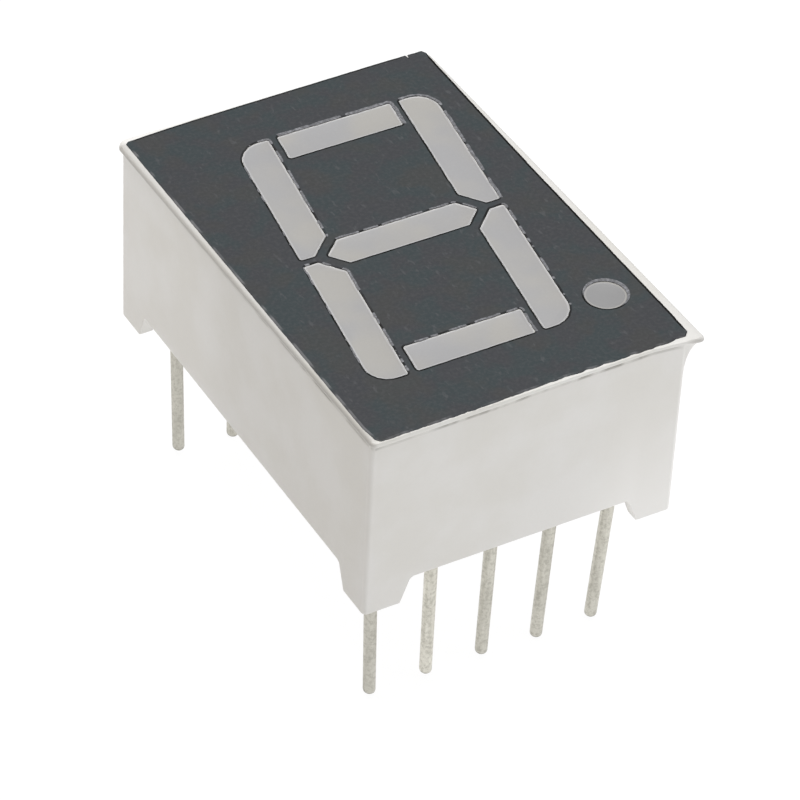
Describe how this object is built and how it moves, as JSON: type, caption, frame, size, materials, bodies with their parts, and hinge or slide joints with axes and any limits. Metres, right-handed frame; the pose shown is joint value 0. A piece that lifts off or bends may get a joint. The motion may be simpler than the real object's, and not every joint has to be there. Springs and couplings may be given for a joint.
{
  "type": "seven segment display",
  "caption": "Boxy single-digit display: inked face with a slanted digit of light bars and a round point, small corner feet, and two rows of round pins behind.",
  "frame": {"origin": "centre of the pin pattern on the seating plane, where the bottoms of the four corner feet meet the circuit board the part stands on", "axes": "+X to the digit's right, +Y to the digit's top, +Z out of the face, away from the pins"},
  "size_m": [0.0136, 0.0195, 0.0142],
  "materials": {
    "housing_plastic": "satin",
    "face_ink": "matte",
    "light_resin": "satin",
    "solder_resist": "satin",
    "copper": "satin",
    "board": "matte",
    "back_resin": "satin",
    "led_crystal": "polished",
    "gold_wire": "polished",
    "tinned_pin": "satin",
    "solder": "satin"
  },
  "bodies": {
    "root": {"housing": "housing_plastic", "face_print": "face_ink", "segment_a": "light_resin", "segment_b": "light_resin", "segment_c": "light_resin", "segment_d": "light_resin", "segment_e": "light_resin", "segment_f": "light_resin", "segment_g": "light_resin", "decimal_point": "light_resin", "solder_mask": "solder_resist", "copper_traces": "copper", "circuit_board": "board", "back_potting": "back_resin", "led_a": "led_crystal", "led_b": "led_crystal", "led_c": "led_crystal", "led_d": "led_crystal", "led_e": "led_crystal", "led_f": "led_crystal", "led_g": "led_crystal", "led_dp": "led_crystal", "bond_wire_a": "gold_wire", "bond_wire_b": "gold_wire", "bond_wire_c": "gold_wire", "bond_wire_d": "gold_wire", "bond_wire_e": "gold_wire", "bond_wire_f": "gold_wire", "bond_wire_g": "gold_wire", "bond_wire_dp": "gold_wire", "pin_1": "tinned_pin", "pin_2": "tinned_pin", "pin_3": "tinned_pin", "pin_4": "tinned_pin", "pin_5": "tinned_pin", "pin_6": "tinned_pin", "pin_7": "tinned_pin", "pin_8": "tinned_pin", "pin_9": "tinned_pin", "pin_10": "tinned_pin", "solder_1": "solder", "solder_2": "solder", "solder_3": "solder", "solder_4": "solder", "solder_5": "solder", "solder_6": "solder", "solder_7": "solder", "solder_8": "solder", "solder_9": "solder", "solder_10": "solder"}
  },
  "joints": []
}
